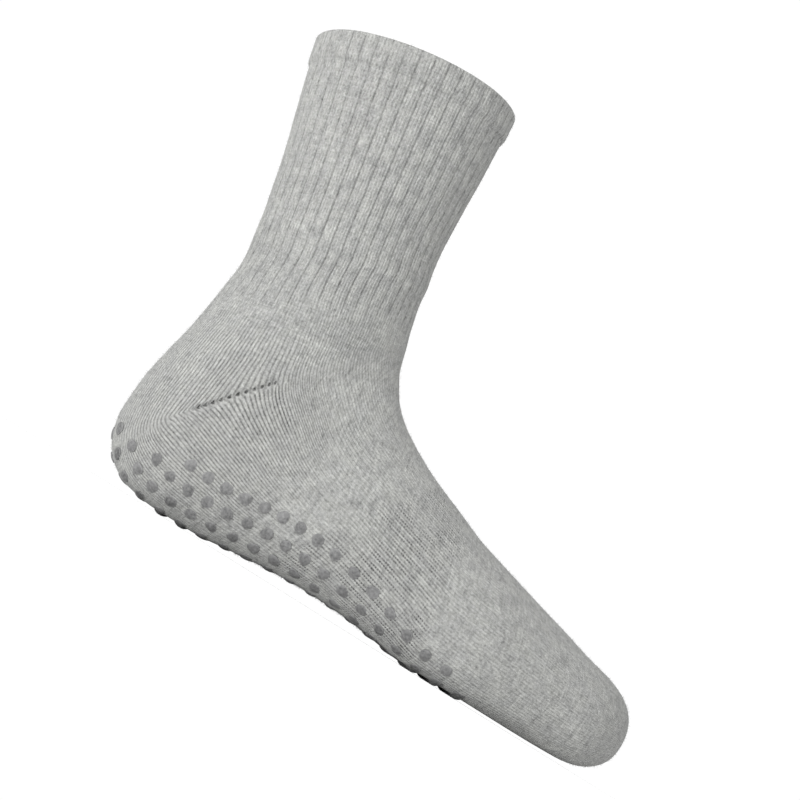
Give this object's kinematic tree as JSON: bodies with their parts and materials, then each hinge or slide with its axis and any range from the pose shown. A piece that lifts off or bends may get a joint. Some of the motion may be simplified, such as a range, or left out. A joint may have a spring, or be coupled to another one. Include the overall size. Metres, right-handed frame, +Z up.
{
  "type": "slipper sock",
  "caption": "Grey knitted crew slipper sock with a ribbed leg, a turned welt at the collar and a terry sole set with silicone grip dots, standing open in the form of a foot.",
  "frame": {"origin": "on the floor, under the middle of the sock's box", "axes": "+X towards the toes, +Z up, Y across the foot"},
  "size_m": [0.2648, 0.0934, 0.2228],
  "materials": {
    "knit": "matte heather knit",
    "grip": "satin silicone"
  },
  "bodies": {
    "root": {"sock_body": "knit", "grip_dot_left_1_01": "grip", "grip_dot_left_1_02": "grip", "grip_dot_left_1_03": "grip", "grip_dot_left_1_14": "grip", "grip_dot_left_1_15": "grip", "grip_dot_left_2_01": "grip", "grip_dot_left_2_02": "grip", "grip_dot_left_2_03": "grip", "grip_dot_left_3_01": "grip", "grip_dot_left_3_02": "grip", "grip_dot_left_3_03": "grip", "grip_dot_right_1_01": "grip", "grip_dot_right_1_02": "grip", "grip_dot_right_1_03": "grip", "grip_dot_right_1_14": "grip", "grip_dot_right_1_15": "grip", "grip_dot_right_2_01": "grip", "grip_dot_right_2_02": "grip", "grip_dot_right_2_03": "grip", "grip_dot_right_3_01": "grip", "grip_dot_right_3_02": "grip", "grip_dot_right_3_03": "grip"}
  },
  "joints": []
}
